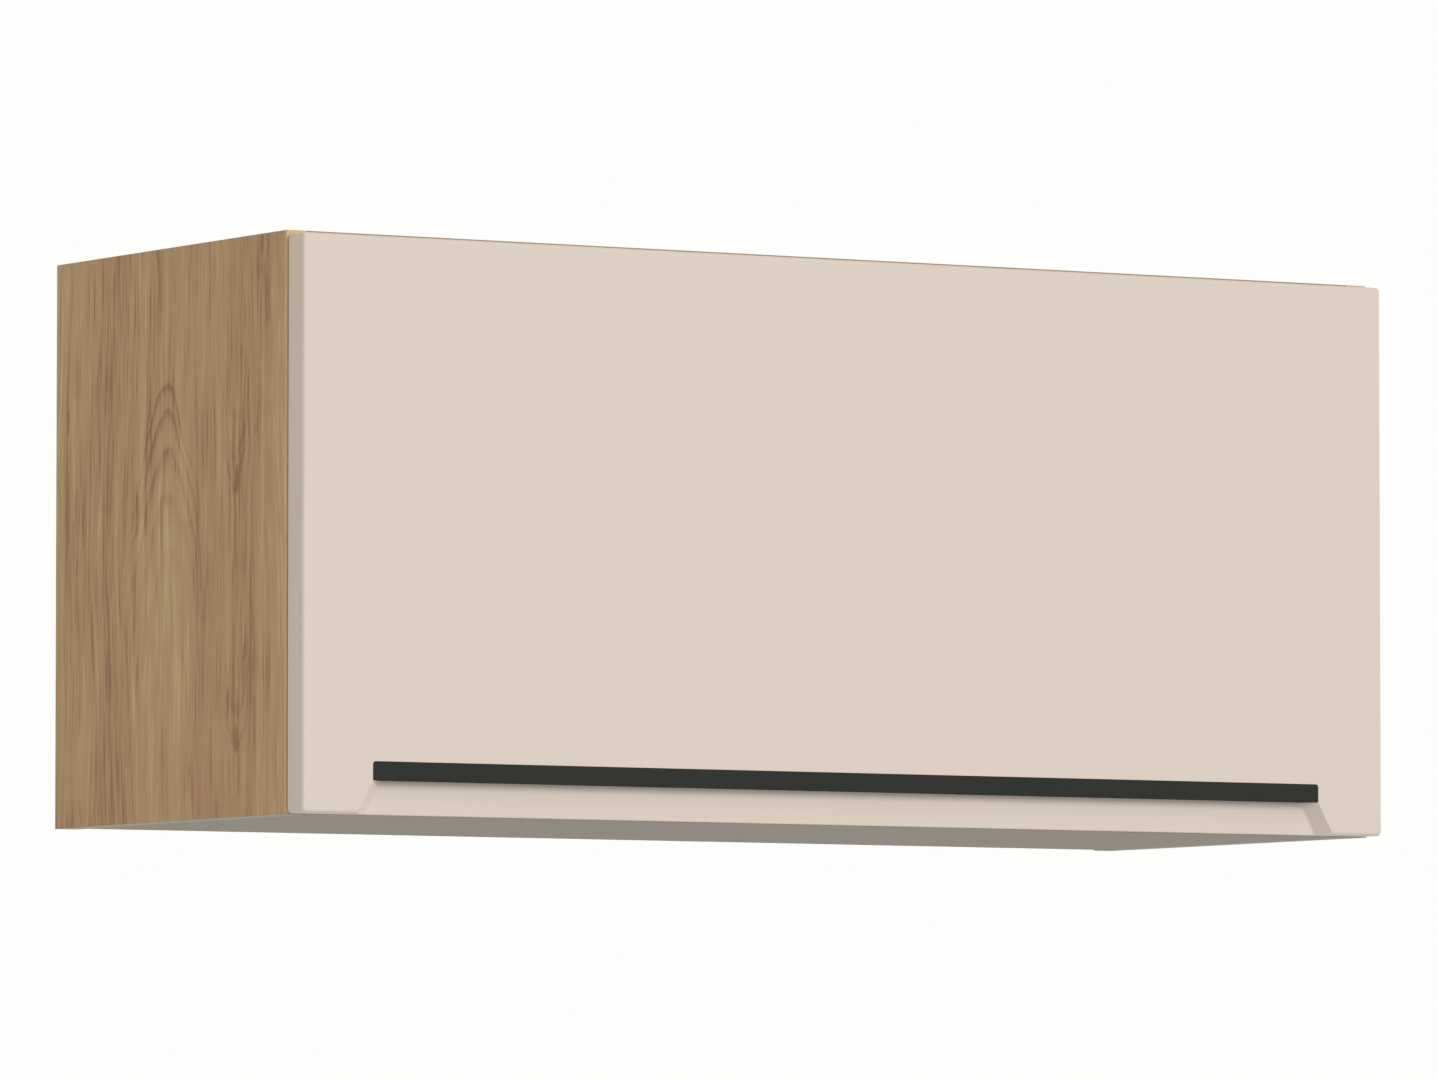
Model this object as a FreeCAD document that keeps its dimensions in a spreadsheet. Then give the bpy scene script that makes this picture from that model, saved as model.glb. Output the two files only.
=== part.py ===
import FreeCAD, Part
import Sketcher
import os

# Lift-up wall cabinet with a parallel lift.  Millimetres, +Z up, +X to the right of someone facing
# the door, +Y towards the wall.  The origin lies on the wall plane, midway between the two wall
# screws.  The door hangs on two pairs of parallel arms, so it stays upright while it rises.

doc = FreeCAD.newDocument("LiftUpWallCabinet")

# ---------------------------------------------------------------- driving dimensions

DIMENSIONS = (
    # carcass
    ("carcass_width", 800), ("carcass_height", 358), ("carcass_depth", 300),
    ("board_thick", 15),
    # back panel, let into grooves in the sides, and the wall rail behind it
    ("back_thick", 3), ("groove_depth", 7), ("slide_fit", 0.15),
    ("rail_thick", 15), ("rail_height", 80), ("rail_drop", 15), ("rail_seat", 7),
    ("wall_screw_pitch", 640), ("wall_screw_bore", 6),
    # splines that join the boards, and staples that hold the back panel
    ("spline_thick", 4), ("spline_width", 18), ("spline_inset", 24), ("glue_fit", 0.1),
    ("staple_crown", 10), ("staple_leg", 13), ("staple_wire", 1.2), ("staple_inset", 60),
    # door
    ("door_thick", 18), ("door_gap", 1), ("door_side_inset", 1), ("door_top_inset", 2.5),
    ("door_low_inset", 0.5), ("door_round", 2),
    # finger recess and handle profile
    ("handle_length", 698), ("handle_face", 11.5), ("handle_low", 20.7), ("handle_depth", 10),
    ("handle_wall", 2), ("handle_bead", 3), ("handle_corner", 1.6), ("handle_fit", 0.15),
    ("recess_depth", 8), ("recess_flare", 11.5), ("recess_cove", 3),
    # parallel lift, measured from the carcass front, top and inner side faces
    ("arm_length", 200), ("pivot_back", 28), ("pivot_drop", 50),
    ("pivot_step_back", 24.7), ("pivot_step_down", 38.8),
    ("arm_width", 18), ("guide_width", 15), ("arm_thick", 4), ("arm_gap", 0.35),
    ("shaft_size", 10), ("pin_size", 8), ("pin_head", 13), ("head_thick", 2.5),
    ("press_fit", 0.05), ("running_fit", 0.05),
    # lift housing
    ("housing_length", 150), ("housing_height", 112), ("housing_deep", 20), ("housing_wall", 2),
    ("housing_front", 8), ("housing_drop", 18), ("housing_cut", 10), ("bearing_wall", 5),
    ("cover_wall", 1.6), ("cover_fit", 0.3), ("cover_skirt", 12), ("cover_round", 14),
    ("housing_screw_inset", 16), ("spring_size", 15), ("spring_drop", 8),
    # door brackets
    ("bracket_thick", 2.5), ("bracket_width", 18), ("bracket_toe", 5), ("bracket_cut", 5),
    ("bracket_flange", 34), ("flange_height", 96), ("flange_foot", 12),
    ("bracket_screw_pitch", 64),
    # screws and bumpers
    ("screw_size", 4), ("screw_length", 13), ("screw_head", 7.5), ("screw_head_high", 2.2),
    ("screw_fit", 0.25), ("pilot_fit", 0.1), ("pilot_spare", 1),
    ("bumper_size", 8), ("bumper_clear", 0.1), ("bumper_inset", 16),
)

sheet = doc.addObject("Spreadsheet::Sheet", "dims")
for row, (alias, number) in enumerate(DIMENSIONS, start=1):
    sheet.set(f"A{row}", alias)
    sheet.set(f"B{row}", str(number))
    sheet.setAlias(f"B{row}", alias)
doc.recompute()


class Size:
    """A length: its number, and the expression that ties it to the sheet."""

    def __init__(self, number, text):
        self.number = float(number)
        self.text = text

    def join(self, other, sign, number):
        return Size(number, f"({self.text} {sign} {size(other).text})")

    def __add__(self, other):
        return self.join(other, "+", self.number + size(other).number)

    def __sub__(self, other):
        return self.join(other, "-", self.number - size(other).number)

    def __mul__(self, other):
        return self.join(other, "*", self.number * size(other).number)

    def __truediv__(self, other):
        return self.join(other, "/", self.number / size(other).number)

    def __neg__(self):
        return Size(-self.number, f"(-1 * {self.text})")

    __radd__ = __add__
    __rmul__ = __mul__

    def __rsub__(self, other):
        return size(other) - self

    def __float__(self):
        return self.number


def size(value):
    return value if isinstance(value, Size) else Size(value, repr(float(value)))


class Dimensions:
    """Reads a cell of the sheet by its alias."""

    def __getattr__(self, alias):
        return Size(getattr(sheet, alias), f"dims.{alias}")


D = Dimensions()
ZERO = size(0)

# ---------------------------------------------------------------- places shared by several pieces

TOP = D.rail_drop + D.rail_height / 2                # carcass top, above the wall screws
BOTTOM = TOP - D.carcass_height
FRONT = -D.carcass_depth                             # carcass front edges
HALF = D.carcass_width / 2
INSIDE = HALF - D.board_thick                        # inner faces of the sides
PANEL_DEPTH = D.carcass_depth - D.rail_thick - D.back_thick    # of the top and bottom panels
REAR = FRONT + PANEL_DEPTH
DOOR_BACK = FRONT - D.door_gap
DOOR_HALF = HALF - D.door_side_inset
DOOR_LOW = BOTTOM + D.door_low_inset
DOOR_TALL = D.carcass_height - D.door_low_inset - D.door_top_inset
BOARD_MID = D.board_thick / 2
PIVOT_Y = FRONT + D.pivot_back                       # main arm pivot on the housing
PIVOT_Z = TOP - D.pivot_drop
BEARING_DEEP = D.housing_deep + D.cover_wall + 2 * D.cover_fit
ARM_NEAR = BEARING_DEEP + D.arm_gap                  # arms, inboard of the side panel
ARM_FAR = ARM_NEAR + D.arm_thick
PLATE_FAR = ARM_NEAR - D.arm_gap                     # bracket plate, just outboard of the arms
PLATE_NEAR = PLATE_FAR - D.bracket_thick

NODES = []

# ---------------------------------------------------------------- drawing helpers


def place(piece, x, y, z):
    for axis, value in zip("xyz", (x, y, z)):
        piece.setExpression(f"Placement.Base.{axis}", size(value).text)


def body(label, x=ZERO, y=ZERO, z=ZERO, keep=True):
    piece = doc.addObject("PartDesign::Body", label)
    piece.Label = label
    place(piece, x, y, z)
    if keep:
        NODES.append(piece)
    return piece


class Drawing:
    """A sketch on one of its body's origin planes, moved along the plane's normal."""

    def __init__(self, piece, plane, offset=ZERO):
        self.sketch = piece.newObject("Sketcher::SketchObject", piece.Label + "_sketch")
        base = next(f for f in piece.Origin.OriginFeatures if f.Role == plane + "_Plane")
        self.sketch.AttachmentSupport = [(base, "")]
        self.sketch.MapMode = "FlatFace"
        self.sketch.setExpression("AttachmentOffset.Base.z", size(offset).text)

    def fix(self, edge, end, x, y):
        for kind, value, axis in (("DistanceX", size(x), -2), ("DistanceY", size(y), -1)):
            if abs(value.number) < 1e-9:
                self.sketch.addConstraint(Sketcher.Constraint("PointOnObject", edge, end, axis))
                continue
            index = self.sketch.addConstraint(
                Sketcher.Constraint(kind, -1, 1, edge, end, value.number))
            self.sketch.setExpression(f"Constraints[{index}]", value.text)

    def polygon(self, corners):
        points = [FreeCAD.Vector(float(x), float(y), 0) for x, y in corners]
        first = self.sketch.GeometryCount
        count = len(points)
        for i in range(count):
            self.sketch.addGeometry(Part.LineSegment(points[i], points[(i + 1) % count]))
        for i in range(count):
            following = first + (i + 1) % count
            self.sketch.addConstraint(
                Sketcher.Constraint("Coincident", first + i, 2, following, 1))
            self.fix(first + i, 1, *corners[i])
        return self

    def rectangle(self, left, low, wide, tall):
        right, high = left + wide, low + tall
        return self.polygon(((left, low), (right, low), (right, high), (left, high)))

    def octagon(self, left, low, wide, tall, cut):
        """A rectangle with its corners cut off at 45 degrees."""
        right, high = left + wide, low + tall
        return self.polygon((
            (left, low + cut), (left + cut, low), (right - cut, low), (right, low + cut),
            (right, high - cut), (right - cut, high), (left + cut, high), (left, high - cut)))

    def circle(self, x, y, across):
        centre = FreeCAD.Vector(float(x), float(y), 0)
        radius = size(across) / 2
        edge = self.sketch.addGeometry(
            Part.Circle(centre, FreeCAD.Vector(0, 0, 1), float(radius)))
        self.fix(edge, 3, x, y)
        index = self.sketch.addConstraint(Sketcher.Constraint("Radius", edge, float(radius)))
        self.sketch.setExpression(f"Constraints[{index}]", radius.text)
        return self


def feature(kind, piece, drawing, length, reverse):
    made = piece.newObject(f"PartDesign::{kind}", f"{piece.Label}_{kind.lower()}")
    made.Profile = drawing.sketch
    made.Reversed = reverse
    made.setExpression("Length", size(length).text)
    drawing.sketch.Visibility = False
    return made


def pad(piece, drawing, length, reverse=False):
    return feature("Pad", piece, drawing, length, reverse)


def pocket(piece, drawing, length, reverse=False):
    return feature("Pocket", piece, drawing, length, reverse)


def pick_edges(shape, chosen):
    return [f"Edge{i}" for i, edge in enumerate(shape.Edges, start=1) if chosen(edge)]


def along(edge, axis):
    """True for a straight edge that runs along the axis."""
    if edge.Curve.TypeId != "Part::GeomLine":
        return False
    first, last = edge.Vertexes[0].Point, edge.Vertexes[-1].Point
    return (last - first).normalize().isEqual(axis, 1e-6) or (
        first - last).normalize().isEqual(axis, 1e-6)


def round_edges(piece, radius, chosen):
    """Rounds the chosen edges of the body as it is so far."""
    doc.recompute()
    base = piece.Tip
    made = piece.newObject("PartDesign::Fillet", piece.Label + "_fillet")
    made.Base = (base, pick_edges(base.Shape, chosen))
    made.setExpression("Radius", size(radius).text)


X_AXIS, Y_AXIS, Z_AXIS = (FreeCAD.Vector(*v) for v in ((1, 0, 0), (0, 1, 0), (0, 0, 1)))


def near(value, target):
    return abs(value - float(target)) < 1e-4


def turned(label, outline):
    """A master turned about Z from half its section, given as (radius, height) corners."""
    piece = body(label, keep=False)
    drawing = Drawing(piece, "XZ").polygon(outline)
    made = piece.newObject("PartDesign::Revolution", label + "_revolution")
    made.Profile = drawing.sketch
    made.ReferenceAxis = (drawing.sketch, ["V_Axis"])
    made.Angle = 360
    return piece


def cylinder_outline(across, low, high):
    return ((ZERO, low), (across / 2, low), (across / 2, high), (ZERO, high))


def group(label, master, spots):
    """One node of like pieces: the master's copies, each at a point with +Z turned to a way."""
    doc.recompute()
    shapes = []
    for point, way in spots:
        copy = master.Shape.copy()
        turn = FreeCAD.Rotation(Z_AXIS, FreeCAD.Vector(*way))
        spot = FreeCAD.Vector(*(float(value) for value in point))
        copy.Placement = FreeCAD.Placement(spot, turn)
        shapes.append(copy)
    piece = doc.addObject("Part::Feature", label)
    piece.Label = label
    piece.Shape = Part.makeCompound(shapes)
    NODES.append(piece)


SIDES = (("left", -1), ("right", 1))


def mirrored(value, hand):
    return value if hand > 0 else -value


# ---------------------------------------------------------------- places of joints and screws

PANEL_HALF = INSIDE - D.glue_fit / 2                          # boards between the sides
PANEL_MIDS = (BOARD_MID, D.carcass_height - BOARD_MID)         # bottom, top, above the base
SPLINE_LONG = PANEL_DEPTH - 2 * D.spline_inset
STAPLE_ROW = tuple((INSIDE - D.staple_inset) * share for share in (-1, -1 / 3, 1 / 3, 1))
HOUSING_LEFT = D.housing_front - D.pivot_back                  # from the main arm pivot
HOUSING_LOW = D.pivot_drop - D.housing_drop - D.housing_height
HOUSING_SCREWS = (
    (HOUSING_LEFT + D.housing_screw_inset, HOUSING_LOW + D.housing_height - D.housing_screw_inset),
    (HOUSING_LEFT + D.housing_length - D.housing_screw_inset, HOUSING_LOW + D.housing_screw_inset))
BRACKET_SCREW_X = INSIDE - PLATE_FAR - D.bracket_flange / 2
FLANGE_LOW = -D.pivot_step_down - D.flange_foot                # from the upper door pin
BRACKET_MID_Z = PIVOT_Z - D.arm_length + FLANGE_LOW + D.flange_height / 2
BRACKET_SCREWS = (-D.bracket_screw_pitch / 2, D.bracket_screw_pitch / 2)


# ---------------------------------------------------------------- carcass

def spline_slot(piece, height, ends):
    """The grooves that take the splines, opening at the given x in a board's end or face."""
    fit, thick = D.glue_fit, D.spline_thick + D.glue_fit
    slots = Drawing(piece, "XY", height + thick / 2)
    for x in ends:
        slots.rectangle(x - D.spline_width / 2 - fit, D.spline_inset - fit,
                        D.spline_width + 2 * fit, SPLINE_LONG + 2 * fit)
    pocket(piece, slots, thick)


def staple_legs(drawing, height):
    hole = D.staple_wire + D.glue_fit
    for x in STAPLE_ROW:
        for leg in (-1, 1):
            middle = x + leg * (D.staple_crown - D.staple_wire) / 2
            drawing.rectangle(middle - hole / 2, height - hole / 2, hole, hole)


def side_panel(name, hand):
    """Left or right side, with grooves for the splines, the back panel and the wall rail."""
    piece = body(f"{name}_side_panel", mirrored(HALF, hand), FRONT, BOTTOM)
    outline = Drawing(piece, "YZ").rectangle(ZERO, ZERO, D.carcass_depth, D.carcass_height)
    pad(piece, outline, D.board_thick, reverse=hand > 0)
    inner = -mirrored(D.board_thick, hand)
    groove = Drawing(piece, "YZ", inner).rectangle(
        PANEL_DEPTH - D.slide_fit, -D.board_thick, D.back_thick + 2 * D.slide_fit,
        D.carcass_height + 2 * D.board_thick)
    pocket(piece, groove, D.groove_depth, reverse=hand > 0)
    seat = Drawing(piece, "YZ", inner).rectangle(
        D.carcass_depth - D.rail_thick - D.glue_fit, -D.rail_height / 2 - D.glue_fit - BOTTOM,
        D.rail_thick + D.board_thick, D.rail_height + 2 * D.glue_fit)
    pocket(piece, seat, D.rail_seat, reverse=hand > 0)
    for height in PANEL_MIDS:
        spline_slot(piece, height, (inner,))
    screws = Drawing(piece, "YZ", inner)
    for y, z in HOUSING_SCREWS:
        screws.circle(D.pivot_back + y, D.carcass_height - D.pivot_drop + z,
                      D.screw_size + D.pilot_fit)
    pocket(piece, screws, D.screw_length - D.housing_wall + D.pilot_spare, reverse=hand > 0)


def level_panel(label, height):
    """Top or bottom panel, with a spline groove in each end and staple holes at the rear."""
    piece = body(label, ZERO, FRONT, height)
    outline = Drawing(piece, "XY").rectangle(-PANEL_HALF, ZERO, 2 * PANEL_HALF, PANEL_DEPTH)
    pad(piece, outline, D.board_thick)
    spline_slot(piece, BOARD_MID, (-PANEL_HALF, PANEL_HALF))
    legs = Drawing(piece, "XZ", -PANEL_DEPTH)
    staple_legs(legs, BOARD_MID)
    pocket(piece, legs, D.staple_leg - D.back_thick + D.glue_fit, reverse=True)


def back_panel():
    piece = body("back_panel", ZERO, REAR, BOTTOM)
    half = INSIDE + D.groove_depth - D.slide_fit
    outline = Drawing(piece, "XZ").rectangle(-half, ZERO, 2 * half, D.carcass_height)
    pad(piece, outline, D.back_thick, reverse=True)
    holes = Drawing(piece, "XZ")
    for hand in (-1, 1):
        holes.circle(mirrored(D.wall_screw_pitch / 2, hand), -BOTTOM, D.wall_screw_bore)
    for height in PANEL_MIDS:
        staple_legs(holes, height)
    pocket(piece, holes, D.back_thick)


def hanging_rail():
    """The board behind the back panel that carries the cabinet on the two wall screws."""
    piece = body("hanging_rail")
    half = INSIDE + D.rail_seat - D.glue_fit
    outline = Drawing(piece, "XZ").rectangle(-half, -D.rail_height / 2, 2 * half, D.rail_height)
    pad(piece, outline, D.rail_thick)
    bores = Drawing(piece, "XZ")
    for hand in (-1, 1):
        bores.circle(mirrored(D.wall_screw_pitch / 2, hand), ZERO, D.wall_screw_bore)
    pocket(piece, bores, D.rail_thick, reverse=True)


def splines():
    """Loose tongues, glued half into the side panels and half into the top and bottom."""
    master = body("spline_master", keep=False)
    outline = Drawing(master, "XY").rectangle(
        -D.spline_width / 2, D.spline_inset, D.spline_width, SPLINE_LONG)
    pad(master, outline, D.spline_thick)
    group("corner_splines", master, [
        ((mirrored(INSIDE, hand), FRONT, BOTTOM + height - D.spline_thick / 2), Z_AXIS)
        for hand in (-1, 1) for height in PANEL_MIDS])


def staples():
    wire, leg, half = D.staple_wire, D.staple_leg, D.staple_crown / 2
    master = body("staple_master", keep=False)
    outline = Drawing(master, "XY").polygon((
        (-half, wire), (-half, -leg), (wire - half, -leg), (wire - half, ZERO),
        (half - wire, ZERO), (half - wire, -leg), (half, -leg), (half, wire)))
    pad(master, outline, wire)
    group("back_panel_staples", master, [
        ((x, REAR + D.back_thick, BOTTOM + height - wire / 2), Z_AXIS)
        for height in PANEL_MIDS for x in STAPLE_ROW])


# ---------------------------------------------------------------- door and handle

def door_panel():
    piece = body("door_panel", ZERO, DOOR_BACK, DOOR_LOW)
    outline = Drawing(piece, "XZ").rectangle(-DOOR_HALF, ZERO, 2 * DOOR_HALF, DOOR_TALL)
    pad(piece, outline, D.door_thick)
    round_edges(piece, D.door_round, lambda e: near(e.CenterOfMass.y, -D.door_thick))
    # the finger recess widens towards the door's lower edge, and its ends slope to the floor
    below = D.door_round
    reach = D.handle_length / 2
    flare = D.recess_flare * (D.handle_low + below) / D.handle_low
    front = Drawing(piece, "XZ", D.door_thick)
    floor = Drawing(piece, "XZ", D.door_thick - D.recess_depth)
    for drawing, inset in ((front, ZERO), (floor, D.recess_depth)):
        top_half, low_half = reach - inset, reach + flare - inset
        drawing.polygon(((-low_half, -below), (low_half, -below),
                         (top_half, D.handle_low), (-top_half, D.handle_low)))
    recess = piece.newObject("PartDesign::SubtractiveLoft", "finger_recess")
    recess.Profile = front.sketch
    recess.Sections = [floor.sketch]
    recess.Ruled = True
    doc.recompute()
    floor_y = float(D.recess_depth - D.door_thick)
    round_edges(piece, D.recess_cove, lambda e: (
        near(e.CenterOfMass.y, floor_y) and abs(e.CenterOfMass.x) > float(reach) / 2
        and not along(e, X_AXIS)))
    # the rebate that the handle profile sits in
    fit = D.handle_fit
    rebate = Drawing(piece, "XZ", D.door_thick).rectangle(
        -reach - fit, D.handle_low, 2 * (reach + fit), D.handle_face + fit)
    pocket(piece, rebate, D.handle_depth + fit)
    brackets = Drawing(piece, "XZ")
    for hand in (-1, 1):
        for rise in BRACKET_SCREWS:
            brackets.circle(mirrored(BRACKET_SCREW_X, hand), BRACKET_MID_Z + rise - DOOR_LOW,
                            D.screw_size + D.pilot_fit)
    pocket(piece, brackets, D.screw_length - D.bracket_thick + D.pilot_spare, reverse=True)


def handle_profile():
    """An extruded inverted U: the lip in front, the web on top, and the leg let into the door."""
    piece = body("handle_profile", ZERO, DOOR_BACK - D.door_thick, DOOR_LOW + D.handle_low)
    wall, deep, face = D.handle_wall, D.handle_depth, D.handle_face
    half = D.handle_length / 2
    section = Drawing(piece, "YZ", -half).polygon((
        (ZERO, ZERO), (wall, ZERO), (wall, face - wall), (deep - wall, face - wall),
        (deep - wall, ZERO), (deep, ZERO), (deep, face), (ZERO, face)))
    pad(piece, section, D.handle_length)
    bead = Drawing(piece, "YZ", -half).circle(D.handle_bead / 2, D.handle_bead / 2, D.handle_bead)
    pad(piece, bead, D.handle_length)
    round_edges(piece, D.handle_corner,
                lambda e: along(e, Y_AXIS) and near(e.CenterOfMass.z, face)
                and near(abs(e.CenterOfMass.x), half))


# ---------------------------------------------------------------- parallel lift

CUT_STEP = 2 - 2 ** 0.5            # how a 45 degree corner cut shrinks for each mm of inset


def housing_outline(drawing, grow):
    """The housing's outline, grown outwards (or shrunk, if negative) by an even amount."""
    return drawing.octagon(
        HOUSING_LEFT - grow, HOUSING_LOW - grow, D.housing_length + 2 * grow,
        D.housing_height + 2 * grow, D.housing_cut + CUT_STEP * grow)


def bearing_outline(drawing, grow=ZERO):
    """A block that takes in both pivots of a housing."""
    reach = D.shaft_size / 2 + D.bearing_wall + grow
    back, down = D.pivot_step_back, -D.pivot_step_down
    return drawing.polygon((
        (-reach, -reach), (back - reach, down - reach), (back + reach, down - reach),
        (back + reach, reach), (-reach, reach)))


def lift_housing(name, hand):
    """A steel tray with a bearing block for the two arms; its floor is screwed to the side."""
    piece = body(f"{name}_lift_housing", mirrored(INSIDE, hand), PIVOT_Y, PIVOT_Z)
    inboard = hand > 0
    wall, deep = D.housing_wall, D.housing_deep
    pad(piece, housing_outline(Drawing(piece, "YZ"), ZERO), deep, reverse=inboard)
    tray = housing_outline(Drawing(piece, "YZ", -mirrored(deep, hand)), -wall)
    pocket(piece, tray, deep - wall, reverse=inboard)
    pad(piece, bearing_outline(Drawing(piece, "YZ")), BEARING_DEEP, reverse=inboard)
    bores = Drawing(piece, "YZ", -mirrored(BEARING_DEEP, hand))
    bores.circle(ZERO, ZERO, D.shaft_size + 2 * D.running_fit)
    bores.circle(D.pivot_step_back, -D.pivot_step_down, D.pin_size + D.press_fit)
    pocket(piece, bores, BEARING_DEEP - wall, reverse=inboard)
    screws = Drawing(piece, "YZ", -mirrored(wall, hand))
    for y, z in HOUSING_SCREWS:
        screws.circle(y, z, D.screw_size + D.screw_fit)
    pocket(piece, screws, wall, reverse=inboard)


def housing_cover(name, hand):
    """A moulded cap over the tray, with a window for the bearing block."""
    piece = body(f"{name}_housing_cover", mirrored(INSIDE, hand), PIVOT_Y, PIVOT_Z)
    grow = D.cover_fit + D.cover_wall
    outer = D.housing_deep + grow
    start = outer - D.cover_wall - D.cover_skirt
    shell = Drawing(piece, "YZ", -mirrored(start, hand)).rectangle(
        HOUSING_LEFT - grow, HOUSING_LOW - grow,
        D.housing_length + 2 * grow, D.housing_height + 2 * grow)
    pad(piece, shell, outer - start, reverse=hand > 0)
    round_edges(piece, D.cover_round, lambda e: along(e, X_AXIS))
    hollow = housing_outline(Drawing(piece, "YZ", -mirrored(start, hand)), D.cover_fit)
    pocket(piece, hollow, D.cover_skirt, reverse=hand < 0)
    window = bearing_outline(Drawing(piece, "YZ", -mirrored(outer, hand)), D.cover_fit)
    pocket(piece, window, D.cover_wall, reverse=hand > 0)


def arm(label, hand, width, top_bore, step_back=ZERO, step_down=ZERO):
    """A flat arm with rounded ends that hangs from its pivot."""
    piece = body(label, mirrored(INSIDE - ARM_NEAR, hand), PIVOT_Y + step_back,
                 PIVOT_Z - step_down)
    long, thick = D.arm_length, D.arm_thick
    strip = Drawing(piece, "YZ").rectangle(-width / 2, -long, width, long)
    pad(piece, strip, thick, reverse=hand > 0)
    for end in (ZERO, -long):
        pad(piece, Drawing(piece, "YZ").circle(ZERO, end, width), thick, reverse=hand > 0)
    bores = Drawing(piece, "YZ").circle(ZERO, ZERO, top_bore)
    bores.circle(ZERO, -long, D.pin_size + 2 * D.running_fit)
    pocket(piece, bores, thick, reverse=hand < 0)


def headed_pins(label, start, spots):
    """Pins along X: each runs from start to just past the arm, measured from its side panel."""
    stop = ARM_FAR + D.arm_gap
    shank, head = D.pin_size / 2, D.pin_head / 2
    master = turned(label + "_master", (
        (ZERO, start), (shank, start), (shank, stop), (head, stop),
        (head, stop + D.head_thick), (ZERO, stop + D.head_thick)))
    group(label, master, [((mirrored(INSIDE, hand), y, z), (-hand, 0, 0))
                          for hand in (-1, 1) for y, z in spots])


def door_bracket(name, hand):
    """An angle bracket: its flange is screwed to the door, and its plate holds the two pins."""
    piece = body(f"{name}_door_bracket", mirrored(INSIDE, hand), PIVOT_Y,
                 PIVOT_Z - D.arm_length)
    inboard = hand > 0
    door = -D.pivot_back - D.door_gap
    back, down, half = D.pivot_step_back, -D.pivot_step_down, D.bracket_width / 2
    low, high = FLANGE_LOW, FLANGE_LOW + D.flange_height
    toe, cut = door + D.bracket_toe, D.bracket_cut
    plate = Drawing(piece, "YZ", -mirrored(PLATE_NEAR, hand)).polygon((
        (door, low), (toe, low), (back, down - half), (back + half - cut, down - half),
        (back + half, down - half + cut), (back + half, down + half), (half, half), (-half, half),
        (toe, high), (door, high)))
    pad(piece, plate, D.bracket_thick, reverse=inboard)
    inner, outer = -mirrored(PLATE_NEAR, hand), -mirrored(PLATE_FAR + D.bracket_flange, hand)
    flange = Drawing(piece, "XZ", -door).polygon((
        (inner, low), (outer + mirrored(cut, hand), low), (outer, low + cut),
        (outer, high - cut), (outer + mirrored(cut, hand), high), (inner, high)))
    pad(piece, flange, D.bracket_thick, reverse=True)
    screws = Drawing(piece, "XZ", -door)
    for rise in BRACKET_SCREWS:
        screws.circle(-mirrored(PLATE_FAR + D.bracket_flange / 2, hand),
                      low + D.flange_height / 2 + rise,
                      D.screw_size + D.screw_fit)
    pocket(piece, screws, D.bracket_thick)
    pins = Drawing(piece, "YZ", inner)
    pins.circle(ZERO, ZERO, D.pin_size + D.press_fit).circle(back, down, D.pin_size + D.press_fit)
    pocket(piece, pins, D.bracket_thick, reverse=not inboard)


def sync_shaft():
    """The axle of both main arms; it joins them, so both ends of the door rise together."""
    end = INSIDE - D.housing_wall - D.arm_gap
    piece = body("sync_shaft", ZERO, PIVOT_Y, PIVOT_Z)
    pad(piece, Drawing(piece, "YZ", -end).circle(ZERO, ZERO, D.shaft_size), 2 * end)


def spring_cartridges():
    """The sealed balance springs, held between the bearing block and the tray's rear wall."""
    start = D.pivot_step_back + D.shaft_size / 2 + D.bearing_wall + D.glue_fit
    stop = HOUSING_LEFT + D.housing_length - D.housing_wall - D.glue_fit
    master = turned("spring_master", cylinder_outline(D.spring_size, start, stop))
    middle = D.housing_wall + D.glue_fit + D.spring_size / 2
    group("spring_cartridges", master, [
        ((mirrored(INSIDE - middle, hand), PIVOT_Y, PIVOT_Z - D.spring_drop), Y_AXIS)
        for hand in (-1, 1)])


# ---------------------------------------------------------------- fasteners and bumpers

def screws():
    shank, head = D.screw_size / 2, D.screw_head / 2
    master = turned("screw_master", (
        (ZERO, -D.screw_length), (shank, -D.screw_length), (shank, ZERO), (head, ZERO),
        (head, D.screw_head_high), (ZERO, D.screw_head_high)))
    group("housing_screws", master, [
        ((mirrored(INSIDE - D.housing_wall, hand), PIVOT_Y + y, PIVOT_Z + z), (-hand, 0, 0))
        for hand in (-1, 1) for y, z in HOUSING_SCREWS])
    group("bracket_screws", master, [
        ((mirrored(BRACKET_SCREW_X, hand), DOOR_BACK + D.bracket_thick, BRACKET_MID_Z + rise),
         Y_AXIS) for hand in (-1, 1) for rise in BRACKET_SCREWS])


def door_bumpers():
    """Soft discs on the back of the door's lower corners."""
    master = turned("bumper_master", cylinder_outline(
        D.bumper_size, ZERO, D.door_gap - D.bumper_clear))
    group("door_bumpers", master, [
        ((mirrored(HALF - BOARD_MID, hand), DOOR_BACK, BOTTOM + D.bumper_inset), Y_AXIS)
        for hand in (-1, 1)])


# ---------------------------------------------------------------- build

for side_name, side_hand in SIDES:
    side_panel(side_name, side_hand)
level_panel("top_panel", TOP - D.board_thick)
level_panel("bottom_panel", BOTTOM)
back_panel()
hanging_rail()
splines()
staples()
door_panel()
handle_profile()
for side_name, side_hand in SIDES:
    lift_housing(side_name, side_hand)
    housing_cover(side_name, side_hand)
    arm(f"{side_name}_main_arm", side_hand, D.arm_width, D.shaft_size + D.press_fit)
    arm(f"{side_name}_guide_arm", side_hand, D.guide_width,
        D.pin_size + 2 * D.running_fit, D.pivot_step_back, D.pivot_step_down)
    door_bracket(side_name, side_hand)
GUIDE_Y, GUIDE_Z = PIVOT_Y + D.pivot_step_back, PIVOT_Z - D.pivot_step_down
sync_shaft()
headed_pins("guide_studs", D.housing_wall + D.arm_gap, ((GUIDE_Y, GUIDE_Z),))
headed_pins("door_pins", PLATE_NEAR, (
    (PIVOT_Y, PIVOT_Z - D.arm_length), (GUIDE_Y, GUIDE_Z - D.arm_length)))
spring_cartridges()
screws()
door_bumpers()
doc.recompute()

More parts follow.
